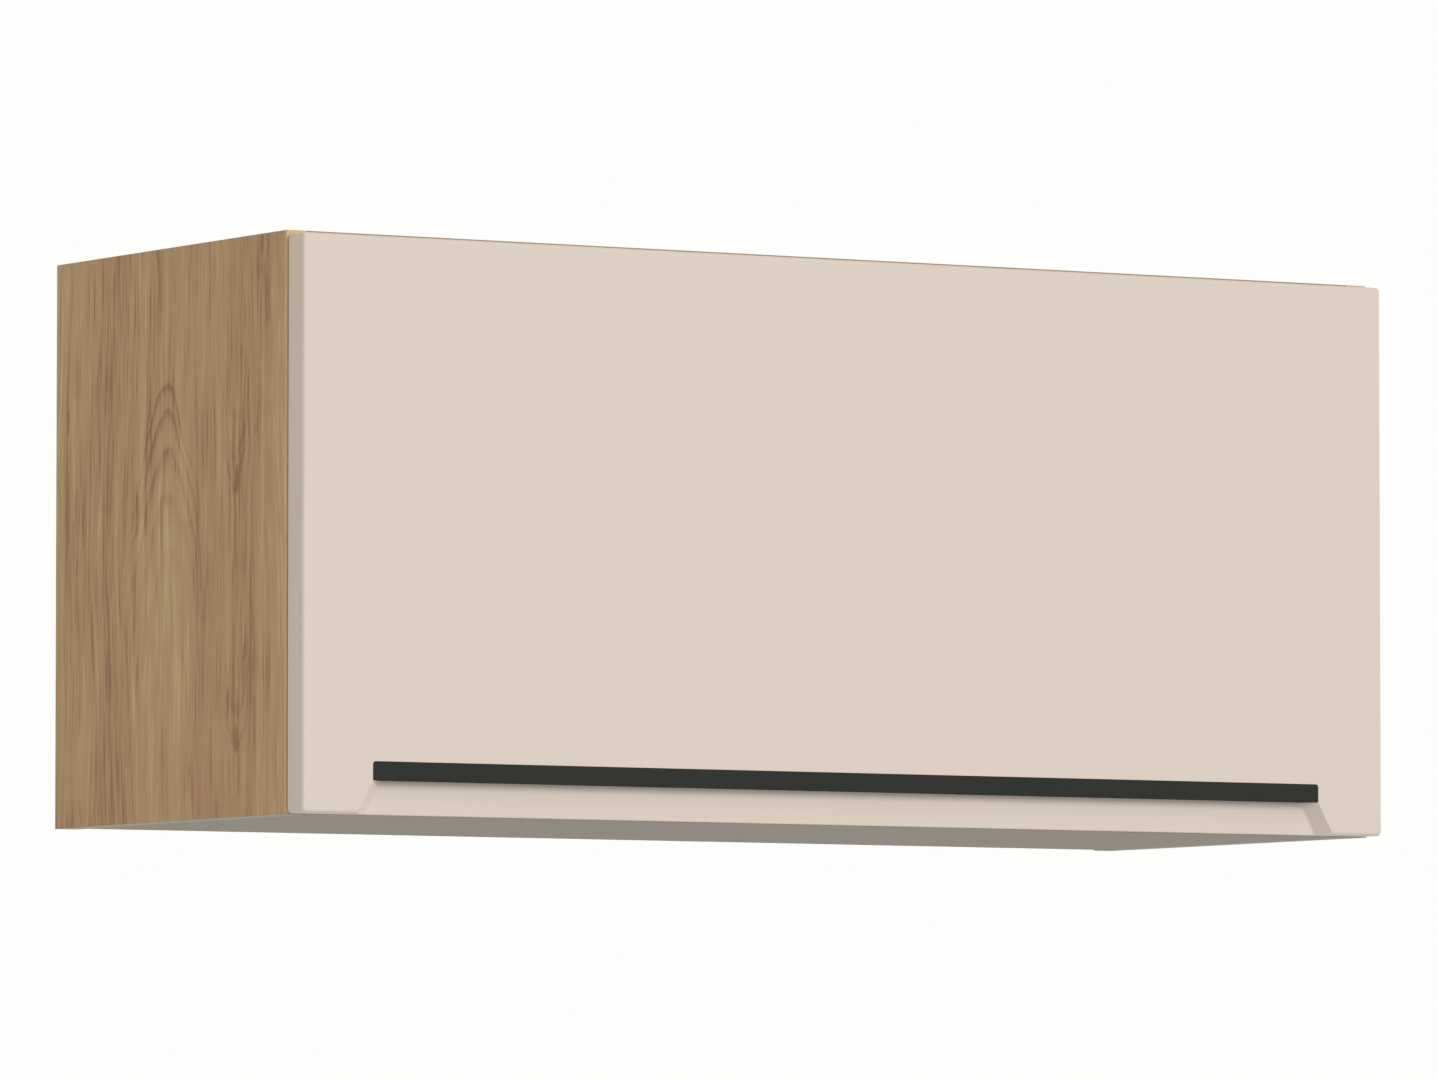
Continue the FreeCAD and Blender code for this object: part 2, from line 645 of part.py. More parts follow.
# ---------------------------------------------------------------- tests and output

for item in doc.Objects:
    if "Invalid" in item.State or "Error" in item.State:
        raise RuntimeError(f"{item.Label} failed to build: {item.State}")
    if item.TypeId in ("PartDesign::Pocket", "PartDesign::SubtractiveLoft"):
        if item.Shape.Volume > item.BaseFeature.Shape.Volume - 1e-3:
            raise RuntimeError(f"{item.Label} cuts nothing")
    if item.TypeId == "PartDesign::Pad" and item.BaseFeature is not None:
        if item.Shape.Volume < item.BaseFeature.Shape.Volume + 1e-3:
            raise RuntimeError(f"{item.Label} adds nothing")

os.makedirs("parts", exist_ok=True)
for node in NODES:
    if node.Shape.isNull() or not node.Shape.isValid():
        raise RuntimeError(f"{node.Label} has no valid shape")
    node.Shape.exportStep(f"parts/{node.Label}.step")
print(len(NODES), "nodes")
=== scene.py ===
"""Lift-up wall cabinet: dressed pieces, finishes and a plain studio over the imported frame.

Metres throughout, +Z up, +X to the right of someone facing the door, +Y towards the wall.
"""

import math

import bmesh
import bpy
from mathutils import Matrix, Vector


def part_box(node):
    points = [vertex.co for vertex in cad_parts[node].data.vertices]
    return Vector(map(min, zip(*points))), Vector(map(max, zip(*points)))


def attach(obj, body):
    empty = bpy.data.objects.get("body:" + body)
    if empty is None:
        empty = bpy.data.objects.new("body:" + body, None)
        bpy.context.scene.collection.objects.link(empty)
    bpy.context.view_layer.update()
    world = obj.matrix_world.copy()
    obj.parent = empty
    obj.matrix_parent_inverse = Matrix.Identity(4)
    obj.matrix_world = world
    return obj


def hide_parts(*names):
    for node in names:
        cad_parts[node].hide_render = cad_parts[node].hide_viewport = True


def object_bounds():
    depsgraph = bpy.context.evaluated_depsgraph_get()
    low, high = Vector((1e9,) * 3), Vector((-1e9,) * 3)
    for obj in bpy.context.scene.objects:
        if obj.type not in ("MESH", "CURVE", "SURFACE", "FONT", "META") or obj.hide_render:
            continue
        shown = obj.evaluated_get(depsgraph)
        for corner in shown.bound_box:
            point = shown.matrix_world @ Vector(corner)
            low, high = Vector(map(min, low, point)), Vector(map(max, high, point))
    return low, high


bl_info = {
    "name": "Lift-up Wall Cabinet",
    "version": (1, 0, 0),
    "blender": (4, 5, 0),
    "location": "View3D > Sidebar > Cabinet",
    "description": "Models and finishes the visible pieces of a lift-up wall cabinet",
    "category": "Object",
}

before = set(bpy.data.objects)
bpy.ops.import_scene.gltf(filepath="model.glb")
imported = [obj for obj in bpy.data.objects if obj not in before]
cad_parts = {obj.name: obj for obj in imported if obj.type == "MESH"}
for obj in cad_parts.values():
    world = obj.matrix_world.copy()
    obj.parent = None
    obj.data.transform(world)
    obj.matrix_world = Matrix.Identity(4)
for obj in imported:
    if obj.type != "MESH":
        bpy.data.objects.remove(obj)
CAD_BOX = [list(corner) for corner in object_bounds()]

MM = 0.001
HANDS = (("left", -1), ("right", 1))
X, Y, Z = 0, 1, 2

# Places that the source gives these pieces, in metres
INSIDE = 0.385                      # inner face of a side panel, from the middle
TRAY_FLOOR = 0.383                  # housing floor, where its screw heads sit
STUD_FOOT = 0.38265                 # outboard end of a guide stud
PIN_HEADS = 0.3581                  # where the heads of the pins and studs begin
MAIN_PIVOT = (-0.272, 0.005)        # y and z
GUIDE_PIVOT = (-0.2473, -0.0338)
ARM_LENGTH = 0.200
ARM_LAYER = (0.35845, 0.36245)      # inboard and outboard faces of an arm
BRACKET_LAYER = 0.3653              # outboard face of a bracket's plate
HOUSING_SCREWS = ((-0.276, 0.021), (-0.158, -0.059))      # y and z
BRACKET_SCREWS = ((0.3458, -0.1658), (0.3458, -0.2298))   # x and z
BRACKET_FACE = -0.2985              # rear face of a bracket's foot on the door
BUMPER_SPOT = (0.3925, -0.301, -0.287)
SHAFT_RADIUS, PIN_RADIUS, RUNNING = 0.005, 0.004, 0.00005

# Where the pattern on a piece changes, in millimetres
BAND_REAR = -299.0                  # edge banding in front of it
SIDE_REAR, TOP_REAR = -0.1, -18.1   # raw edge behind it, on the sides and on the top
LOWER_EDGE, BAND_LOWER_EDGE = 0.3, 0.8    # heights of the grey lower edge of a side
DOOR_REAR = -301.25                 # melamine behind it
FOIL_REAR = -17.9                   # wood foil in front of it, on the back panel

# Across and along from the axis and peak of the wood figure, then width and length
KNOTS = ((-88, -71, 3.0, 12), (-89, -231, 3.6, 12), (-77, -208, 2.0, 14), (132, -22, 2.0, 12))

# Distances within which two corners or two places count as the same, in metres
SAME_PLACE, SAME_CORNER, SLIVER = 1e-5, 2e-6, 5e-6

# The camera was solved from the straight edges in the photo
CAMERA_PLACE = (-3.7524, -6.3365, -0.5572)
CAMERA_PITCH, CAMERA_HEADING = 90 + 3.4983, -31.2438
CAMERA_LENS, CAMERA_SENSOR = 283.16, 36.0
CAMERA_REACH = 100.0

SUN_TOWARDS = (0.38, -0.87, 0.36)
SUN_ENERGY, SUN_ANGLE, SUN_COLOUR = 1.34, 30.0, (0.94, 0.955, 1.0)
SKY_STRENGTH, SKY_COLOUR = 0.60, (1.0, 0.98, 0.94, 1.0)
PAPER_COLOUR = (0.985, 0.99, 0.975, 1.0)
FLOOR_SIZE = 40.0


def shade(red, green, blue):
    """A colour as a picture shows it, 0 to 255, as the linear values that a shader reads."""
    def linear(part):
        part /= 255
        return part / 12.92 if part <= 0.04045 else ((part + 0.055) / 1.055) ** 2.4
    return (linear(red), linear(green), linear(blue))


# ---------------------------------------------------------------- what a user may change

def length(name, description, default):
    return bpy.props.FloatProperty(name=name, description=description, default=default,
                                   min=0.0, precision=5, subtype="DISTANCE", unit="LENGTH")


def colour(name, description, default):
    return bpy.props.FloatVectorProperty(name=name, description=description, default=default,
                                         size=3, min=0.0, max=1.0, subtype="COLOR")


class CabinetSizes(bpy.types.PropertyGroup):
    """Roundings and places that only the looks depend on."""

    door_corner: length("Door corner", "Radius of the door's four corners", 3.0 * MM)
    door_edge: length("Door edge", "Radius round the door's front face", 2.4 * MM)
    board_edge: length("Board edge", "Radius of the edge banding on the boards", 0.6 * MM)
    metal_edge: length("Metal edge", "Rounding of stamped steel edges", 0.35 * MM)
    cover_edge: length("Cover edge", "Radius round the face of a housing cover", 1.5 * MM)
    handle_corner: length("Handle corner", "Radius of the handle's upper corners", 1.8 * MM)
    recess_cove: length("Recess cove", "Radius where a recess end meets its floor", 1.2 * MM)
    floor_drop: length("Floor drop", "Height of the cabinet above the studio floor", 0.75)
    figure_place: bpy.props.FloatVectorProperty(
        name="Wood figure", description="Axis and highest peak of the arches on the left side",
        default=(-0.149, -0.024), size=2, subtype="XYZ", unit="LENGTH")


class CabinetColours(bpy.types.PropertyGroup):
    """Base colours of the finishes."""

    door: colour("Door", "Satin lacquer of the door", shade(220, 206, 193))
    door_back: colour("Door back", "Melamine on the back of the door", shade(226, 222, 214))
    handle: colour("Handle", "Anodised handle profile", shade(38, 40, 35))
    wood_light: colour("Wood, light", "Pale early wood of the laminate", shade(210, 182, 131))
    wood_mid: colour("Wood, middle", "Body colour of the laminate", shade(189, 153, 110))
    wood_red: colour("Wood, red", "Ruddy columns of the laminate", shade(188, 146, 108))
    wood_dark: colour("Wood, dark", "Late wood and flames", shade(151, 107, 70))
    # Edge banding of the sides, made lighter than the wood: a painted highlight along their
    # rounded front edges
    edge_band_and_highlight: colour("Edge band", "Front edges of the sides", shade(226, 190, 146))
    top_band: colour("Top edge band", "Front edge of the top panel", shade(156, 134, 98))
    underside: colour("Underside", "Grey laminate below", shade(170, 164, 153))
    back_foil: colour("Back foil", "Foil on the inside of the back panel", shade(196, 166, 126))
    cover: colour("Cover", "Moulded housing covers", shade(150, 152, 153))
    steel: colour("Steel", "Nickel-plated steel", shade(196, 195, 190))
    zinc: colour("Zinc", "Zinc-plated steel", shade(190, 194, 198))


# ---------------------------------------------------------------- shader helpers

class Socket:
    """An output socket whose arithmetic adds Math nodes."""

    def __init__(self, tree, socket):
        self.tree = tree
        self.socket = socket

    def math(self, operation, *others):
        inputs = {i: value for i, value in enumerate((self, *others))}
        return self.tree.add("ShaderNodeMath", {"operation": operation}, inputs)

    def __add__(self, other):
        return self.math("ADD", other)

    def __sub__(self, other):
        return self.math("SUBTRACT", other)

    def __rsub__(self, other):
        return (self * -1) + other

    def __mul__(self, other):
        return self.math("MULTIPLY", other)

    def __truediv__(self, other):
        return self.math("DIVIDE", other)

    def __pow__(self, other):
        return self.math("POWER", other)

    __radd__ = __add__
    __rmul__ = __mul__

    def over(self, limit):
        return self.math("GREATER_THAN", limit)

    def under(self, limit):
        return self.math("LESS_THAN", limit)

    def ramp(self, start, stop, low=0.0, high=1.0):
        """Rises smoothly from low to high as this value goes from start to stop."""
        return self.tree.add("ShaderNodeMapRange", {"interpolation_type": "SMOOTHSTEP"}, {
            "Value": self, "From Min": start, "From Max": stop, "To Min": low, "To Max": high})


class Tree:
    """A node tree that is written from Python."""

    def __init__(self, node_tree):
        self.nodes = node_tree.nodes
        self.links = node_tree.links
        self.nodes.clear()

    def add(self, kind, settings=None, inputs=None, output=0):
        node = self.nodes.new(kind)
        for name, value in (settings or {}).items():
            setattr(node, name, value)
        for name, value in (inputs or {}).items():
            if isinstance(value, Socket):
                self.links.new(value.socket, node.inputs[name])
            else:
                node.inputs[name].default_value = value
        if isinstance(output, int):
            return Socket(self, node.outputs[output]) if node.outputs else node
        return [Socket(self, node.outputs[name]) for name in output]

    def place(self, scale=(1, 1, 1)):
        """Object coordinates in millimetres, scaled."""
        at = self.add("ShaderNodeTexCoord", output=("Object",))[0]
        at = self.add("ShaderNodeVectorMath", {"operation": "SCALE"}, {0: at, "Scale": 1000.0})
        return self.add("ShaderNodeMapping", {"vector_type": "POINT"}, {
            "Vector": at, "Scale": scale})

    def parts(self, vector):
        return self.add("ShaderNodeSeparateXYZ", None, {0: vector}, output=("X", "Y", "Z"))

    def join(self, x, y, z):
        return self.add("ShaderNodeCombineXYZ", None, {"X": x, "Y": y, "Z": z})

    def noise(self, vector, scale, detail=2.0, rough=0.5, twist=0.0):
        """Noise from 0 to 1 whose marks are about 1 / scale wide."""
        return self.add("ShaderNodeTexNoise", {"noise_dimensions": "3D"}, {
            "Vector": vector, "Scale": scale, "Detail": detail, "Roughness": rough,
            "Distortion": twist})

    def blend(self, amount, first, second):
        """Two colours mixed by an amount."""
        first, second = (
            value if isinstance(value, Socket) else (*value[:3], 1.0)
            for value in (first, second))
        return self.add("ShaderNodeMix", {"data_type": "RGBA"},
                        {0: amount, 6: first, 7: second}, output=2)

    def bump(self, height, strength, distance):
        return self.add("ShaderNodeBump", None, {
            "Height": height, "Strength": strength, "Distance": distance})


def finish_material(name, paint, **fixed):
    """A Principled material: paint(tree) gives its varying inputs, fixed gives the rest."""
    made = bpy.data.materials.new(name)
    made.use_nodes = True
    tree = Tree(made.node_tree)
    inputs = {key.replace("_", " ").title().replace("Ior", "IOR"): value
              for key, value in fixed.items()}
    inputs.update(paint(tree))
    surface = tree.add("ShaderNodeBsdfPrincipled", None, inputs)
    tree.add("ShaderNodeOutputMaterial", None, {"Surface": surface})
    return made


def material(name):
    """A finish by name, made once under a name that no slot of the frame has."""
    title = f"{name}_finish"
    if title not in bpy.data.materials:
        paint, fixed = FINISHES[name]
        finish_material(title, paint, **fixed)
    return bpy.data.materials[title]


# ---------------------------------------------------------------- finishes

def palette():
    """The base colours that the panel shows."""
    return bpy.context.scene.cabinet_colours


def times(base, gain):
    """A colour times one gain, or times a gain for each of its parts."""
    gains = gain if isinstance(gain, tuple) else (gain,) * 3
    return [part * by for part, by in zip(base, gains)]


class WoodFigure:
    """Plain-sawn wood in the plane of a board, in millimetres across and along its grain."""

    def __init__(self, tree, across, along, depth, seed):
        self.tree, self.across, self.along = tree, across, along
        self.depth = depth * 0.01 + seed
        self.sway = self.grain(60, 190, shift=0)
        self.drift = self.grain(16, 46, shift=7, detail=1.0)

    def grain(self, wide, long, shift, detail=2.0, rough=0.55, twist=0.0, lean=0.0):
        """Noise about zero whose marks are about wide by long."""
        at = self.tree.join((self.across + lean) * (1 / wide), self.along * (1 / long),
                            self.depth + shift)
        return self.tree.noise(at, 1.0, detail, rough, twist) - 0.5

    def off_axis(self, axis):
        """Distance from a line along the grain that sways with it."""
        return self.across + self.sway * 46 + self.drift * 5 - axis

    def arches(self, axis, tip, way, steep, fade, wide):
        """Nested growth arches inside a tip that points up (way 1) or down (way -1).

        They fade within a distance from the tip and beyond a distance from the axis.
        """
        round_tip, ring, wider = 1500, 17, 0.09
        middle = self.off_axis(axis)
        arch = ((middle * middle) * (1 / round_tip) + 1.0) ** 0.5 - 1.0
        inside = (self.along * -1 + tip) * way - arch * steep + self.drift * 20 + self.sway * 26
        within = inside.math("MAXIMUM", 0.0)
        cycle = (within / (within * wider + ring)).math("FRACT")
        line = cycle.ramp(0.7, 0.1) * cycle.ramp(0.0, 0.22) * inside.over(0.0)
        clear = inside.ramp(fade, 8, 0.2, 1.0) * middle.math("ABSOLUTE").ramp(wide, wide * 0.3)
        return line * clear, arch

    def knot(self, across, along, wide, long):
        """A short dark streak where a bud was."""
        x = (self.across + self.drift * 7 - across) / wide
        y = (self.along - along) / long
        return (x * x + y * y).ramp(1.0, 0.1)


def column(offset, beside, none, full):
    """A soft stripe along the grain: gone at one distance from its middle, full at another."""
    return (offset - beside).math("ABSOLUTE").ramp(none, full)


def wood_pattern(tree, across, along, depth, seed, axis, peak):
    """Arches that point along the board, fibres, streaks, knots and flames."""
    wood = WoodFigure(tree, across, along, depth, seed)
    late, arch = wood.arches(axis, peak, way=1, steep=182, fade=150, wide=58)
    vee, _ = wood.arches(axis - 86, peak - 78, way=-1, steep=420, fade=60, wide=34)
    foot, _ = wood.arches(axis - 89, peak - 238, way=-1, steep=380, fade=70, wide=30)
    first, *others = (wood.knot(axis + beside, peak + above, wide, long)
                      for beside, above, wide, long in KNOTS)
    knots = sum(others, first)

    bend = wood.sway * 34 + arch * 14
    hairs = wood.grain(1.5, 48, 11, 2.0, 0.6, lean=bend * 0.1)
    threads = wood.grain(3.4, 80, 23, 3.0, 0.6, lean=bend * 0.4)
    cords = wood.grain(8, 210, 31, 3.0, 0.6, lean=bend * 0.8)
    columns = wood.grain(30, 600, 37, 1.0, lean=bend)
    flames = wood.grain(9, 95, 41, 3.0, 0.6, 0.7, lean=bend * 1.6)
    ruddy = wood.grain(15, 420, 53, 2.0, lean=bend).ramp(0.0, 0.15)

    offset = wood.off_axis(axis)
    below = along.ramp(peak - 10, peak - 150)
    pale = column(offset, 0, 46, 22) * below
    vein = column(offset, -50, 17, 9) * below
    dusk = column(offset, 74, 28, 10)
    rim = column(offset, 140, 26, 8)

    # The tone is dark at -0.1, the body colour at 0.5 and light at 1.1
    tone = (hairs * 1.2 + threads * 1.35 + cords * 1.3 + columns * 0.8 + 0.48
            + pale * 0.16 + rim * 0.14 - dusk * 0.18 - vein * 0.1
            - late * 0.42 - vee * 0.22 - foot * 0.2 - knots * 0.45
            - flames.ramp(0.06, 0.24) * (1 - rim * 0.7) * 0.3 - ruddy * 0.06)
    colours = palette()
    body = tree.blend((ruddy * 0.7 + vein * 0.8).math("MINIMUM", 1.0) * (1 - pale),
                      colours.wood_mid, colours.wood_red)
    colour = tree.blend(tone.ramp(0.5, -0.1), body, colours.wood_dark)
    colour = tree.blend(tone.ramp(0.5, 1.1), colour, colours.wood_light)
    return colour, hairs + threads * 0.5 + 0.5


def chipboard_pattern(tree):
    """Pressed chips of a raw board edge."""
    at = tree.place(scale=(0.45, 0.45, 1.1))
    chips = tree.add("ShaderNodeTexVoronoi", {"feature": "F1"}, {
        "Vector": at, "Scale": 1.0, "Randomness": 1.0}, output=1)
    grey = tree.add("ShaderNodeRGBToBW", None, {0: chips})
    fine = tree.noise(tree.place(), 1.4, 3.0)
    tone = tree.blend(grey, shade(176, 146, 108), shade(206, 180, 140))
    return tree.blend(fine.ramp(0.45, 0.75) * 0.5, tone, shade(128, 98, 66)), fine


def wood_board(tree, long_axis, seed, axis, peak):
    """Wood laminate, banded in front and raw behind. A side has a grey lower edge too. The sides'
    band is lighter than the wood: a painted highlight on their rounded front edges.
    """
    colours = palette()
    upright = long_axis == Z
    at_x, at_y, at_z = tree.parts(tree.place())
    along, depth = (at_z, at_x) if upright else (at_x, at_z)
    tone, grain = wood_pattern(tree, at_y, along, depth, seed, axis, peak)
    band = at_y.under(BAND_REAR)
    # On the sides the band's colour carries a painted highlight on the rounded front edges
    tone = tree.blend(band * 0.85, tone, colours.edge_band_and_highlight if upright else colours.top_band)
    chips, fine = chipboard_pattern(tree)
    raw = at_y.over(SIDE_REAR if upright else TOP_REAR)
    tone = tree.blend(raw, tone, chips)
    if upright:
        bottom = CAD_BOX[0][Z] / MM
        grey = at_z.under(bottom + LOWER_EDGE) + band * at_z.under(bottom + BAND_LOWER_EDGE)
        tone = tree.blend(grey.math("MINIMUM", 1.0), tone, colours.underside)
    return {"Base Color": tone, "Roughness": grain * 0.16 + 0.44 + raw * 0.3,
            "Normal": tree.bump(grain + raw * fine, 0.12, 0.00025)}


def left_wood(tree):
    axis, peak = bpy.context.scene.cabinet_sizes.figure_place
    return wood_board(tree, Z, 2.0, axis / MM, peak / MM)


def right_wood(tree):
    return wood_board(tree, Z, 31.0, -118.0, -10.0)


def top_wood(tree):
    return wood_board(tree, X, 57.0, -170.0, 40.0)


def grey_laminate(tree):
    """Grey foil with a faint linen run along the board."""
    base = palette().underside
    streaks = tree.noise(tree.place(scale=(0.012, 0.35, 0.35)), 1.0, 4.0, 0.6)
    patches = tree.noise(tree.place(scale=(0.01, 0.02, 0.02)), 1.0, 2.0)
    tone = tree.blend(streaks.ramp(0.35, 0.7) * 0.42, base, times(base, 0.8))
    tone = tree.blend(patches.ramp(0.3, 0.7) * 0.35, tone, times(base, (1.04, 0.98, 0.99)))
    return {"Base Color": tone, "Roughness": streaks * 0.1 + 0.62,
            "Normal": tree.bump(streaks, 0.06, 0.0002)}


def satin_lacquer(tree):
    """Sprayed satin lacquer with a faint orange peel, and white melamine on the back."""
    colours = palette()
    peel = tree.noise(tree.place(), 0.35, 2.0, 0.45)
    cloud = tree.noise(tree.place(scale=(0.004, 0.004, 0.006)), 1.0, 2.0)
    tone = tree.blend(cloud.ramp(0.35, 0.65), colours.door,
                      times(colours.door, (0.992, 0.988, 0.983)))
    back = tree.parts(tree.place())[Y].over(DOOR_REAR)
    speck = tree.noise(tree.place(), 0.8, 3.0)
    melamine = tree.blend(speck.ramp(0.4, 0.7) * 0.25, colours.door_back,
                          times(colours.door_back, 0.9))
    return {"Base Color": tree.blend(back, tone, melamine),
            "Roughness": cloud * 0.05 + peel * 0.04 + 0.40 + back * 0.12,
            "Normal": tree.bump(peel, 0.035, 0.0003)}


def black_anodised(tree):
    """Anodised extrusion with fine draw lines along its length."""
    base = palette().handle
    lines = tree.noise(tree.place(scale=(0.006, 2.6, 2.6)), 1.0, 3.0, 0.6)
    cloud = tree.noise(tree.place(scale=(0.012, 0.1, 0.1)), 1.0, 2.0)
    tone = tree.blend(lines.ramp(0.35, 0.75) * 0.5, base, times(base, 1.35))
    tone = tree.blend(cloud.ramp(0.35, 0.7) * 0.4, tone, times(base, (0.85, 0.95, 1.05)))
    return {"Base Color": tone, "Roughness": lines * 0.12 + 0.34,
            "Normal": tree.bump(lines, 0.08, 0.0001)}


def plated(tree, base, stretch, rough, dull):
    """Plated steel with fine rolling marks and an uneven sheen."""
    marks = tree.noise(tree.place(scale=stretch), 1.0, 3.0, 0.55)
    cloud = tree.noise(tree.place(), 0.06, 3.0, 0.55)
    tone = tree.blend(cloud.ramp(0.35, 0.7), base, times(base, dull))
    tone = tree.blend(marks.ramp(0.45, 0.8) * 0.35, tone, times(base, 0.75))
    return {"Base Color": tone, "Roughness": marks * 0.14 + cloud * 0.08 + rough,
            "Normal": tree.bump(marks, 0.07, 0.0001)}


def nickel_steel(tree):
    return plated(tree, palette().steel, (2.4, 2.4, 0.06), 0.24, 0.86)


def zinc_steel(tree):
    return plated(tree, palette().zinc, (1.3, 1.3, 1.3), 0.28, 0.82)


def black_enamel(tree):
    """Glossy stoved enamel, a little worn."""
    peel = tree.noise(tree.place(), 0.5, 2.0)
    worn = tree.noise(tree.place(scale=(0.2, 0.02, 0.2)), 1.0, 3.0)
    tone = tree.blend(worn.ramp(0.55, 0.8) * 0.5, shade(30, 31, 33), shade(66, 66, 68))
    return {"Base Color": tone, "Roughness": peel * 0.2 + 0.25,
            "Normal": tree.bump(peel, 0.1, 0.0002)}


def moulded_plastic(tree):
    """Spark-textured moulded plastic."""
    base = palette().cover
    pits = tree.noise(tree.place(), 1.9, 3.0, 0.6)
    flow = tree.noise(tree.place(scale=(0.02, 0.012, 0.03)), 1.0, 2.0)
    tone = tree.blend(flow.ramp(0.3, 0.7) * 0.5, base, times(base, 0.9))
    tone = tree.blend(pits.ramp(0.5, 0.8) * 0.25, tone, times(base, 0.7))
    return {"Base Color": tone, "Roughness": pits * 0.15 + 0.42,
            "Normal": tree.bump(pits, 0.22, 0.00018)}


def clear_rubber(tree):
    """Hazy soft rubber that lets light through."""
    haze = tree.noise(tree.place(), 0.9, 2.0)
    tone = tree.blend(haze.ramp(0.35, 0.7), shade(226, 228, 226), shade(206, 210, 210))
    return {"Base Color": tone, "Roughness": haze * 0.2 + 0.22,
            "Normal": tree.bump(haze, 0.05, 0.0002)}


def hardboard(tree):
    """Pressed fibre board: brown behind, wood foil on the side that faces into the cabinet."""
    foil = palette().back_foil
    fibre = tree.noise(tree.place(scale=(0.5, 0.5, 0.35)), 1.0, 5.0, 0.7, 0.4)
    cloud = tree.noise(tree.place(), 0.012, 2.0)
    brown = tree.blend(fibre.ramp(0.35, 0.68), shade(126, 92, 62), shade(164, 126, 88))
    brown = tree.blend(cloud.ramp(0.4, 0.65) * 0.3, brown, shade(112, 84, 60))
    grain = tree.noise(tree.place(scale=(0.5, 0.3, 0.01)), 1.0, 4.0, 0.6)
    face = tree.blend(grain.ramp(0.4, 0.72) * 0.6, foil, times(foil, 0.72))
    inside = tree.parts(tree.place())[Y].under(FOIL_REAR)
    return {"Base Color": tree.blend(inside, brown, face),
            "Roughness": fibre * 0.2 + 0.62 - inside * 0.16,
            "Normal": tree.bump(fibre * (1 - inside), 0.25, 0.0004)}


def raw_board(tree):
    """Raw chipboard all over."""
    tone, fine = chipboard_pattern(tree)
    return {"Base Color": tone, "Roughness": fine * 0.2 + 0.7,
            "Normal": tree.bump(fine, 0.35, 0.0005)}


def plywood(tree):
    """Light and dark plies stacked along Z, a pair in 1.3 mm."""
    plies = (tree.parts(tree.place())[Z] * 0.77).math("FRACT").over(0.5)
    fibre = tree.noise(tree.place(scale=(0.4, 0.02, 2.0)), 1.0, 4.0)
    tone = tree.blend(plies, shade(214, 184, 140), shade(186, 150, 104))
    return {"Base Color": tree.blend(fibre.ramp(0.4, 0.7) * 0.3, tone, shade(150, 116, 80)),
            "Roughness": fibre * 0.2 + 0.6, "Normal": tree.bump(fibre, 0.2, 0.0003)}


FINISHES = {
    "left_wood": (left_wood, {"specular_ior_level": 0.25}),
    "right_wood": (right_wood, {"specular_ior_level": 0.25}),
    "top_wood": (top_wood, {"specular_ior_level": 0.25}),
    "grey_laminate": (grey_laminate, {"specular_ior_level": 0.06}),
    "satin_lacquer": (satin_lacquer, {"specular_ior_level": 0.22}),
    "black_anodised": (black_anodised, {"specular_ior_level": 0.1}),
    "nickel_steel": (nickel_steel, {"metallic": 1.0}),
    "zinc_steel": (zinc_steel, {"metallic": 1.0}),
    "black_enamel": (black_enamel, {"coat_weight": 0.4, "coat_roughness": 0.2}),
    "moulded_plastic": (moulded_plastic, {"specular_ior_level": 0.4}),
    "clear_rubber": (clear_rubber, {"transmission_weight": 0.55, "ior": 1.45}),
    "hardboard": (hardboard, {"specular_ior_level": 0.2}),
    "raw_board": (raw_board, {"specular_ior_level": 0.15}),
    "plywood": (plywood, {"specular_ior_level": 0.2}),
}


# ---------------------------------------------------------------- modelling helpers

def work_on(piece):
    """Makes the piece the only selected object, in object mode."""
    if bpy.context.object and bpy.context.object.mode != "OBJECT":
        bpy.ops.object.mode_set(mode="OBJECT")
    bpy.ops.object.select_all(action="DESELECT")
    if piece:
        piece.select_set(True)
        bpy.context.view_layer.objects.active = piece


def settle(name):
    """Names the new primitive and moves its place into its mesh."""
    piece = bpy.context.object
    piece.name = piece.data.name = name
    bpy.ops.object.transform_apply(location=True, rotation=True, scale=True)
    return piece


def add_box(name, low, high):
    work_on(None)
    low, high = Vector(low), Vector(high)
    bpy.ops.mesh.primitive_cube_add(size=1, location=(low + high) / 2, scale=high - low)
    return settle(name)


def add_rod(name, middle, radius, long, axis=Z, sides=32):
    work_on(None)
    turn = ((0, math.pi / 2, 0), (math.pi / 2, 0, 0), (0, 0, 0))[axis]
    bpy.ops.mesh.primitive_cylinder_add(vertices=sides, radius=radius, depth=long,
                                        location=middle, rotation=turn)
    return settle(name)


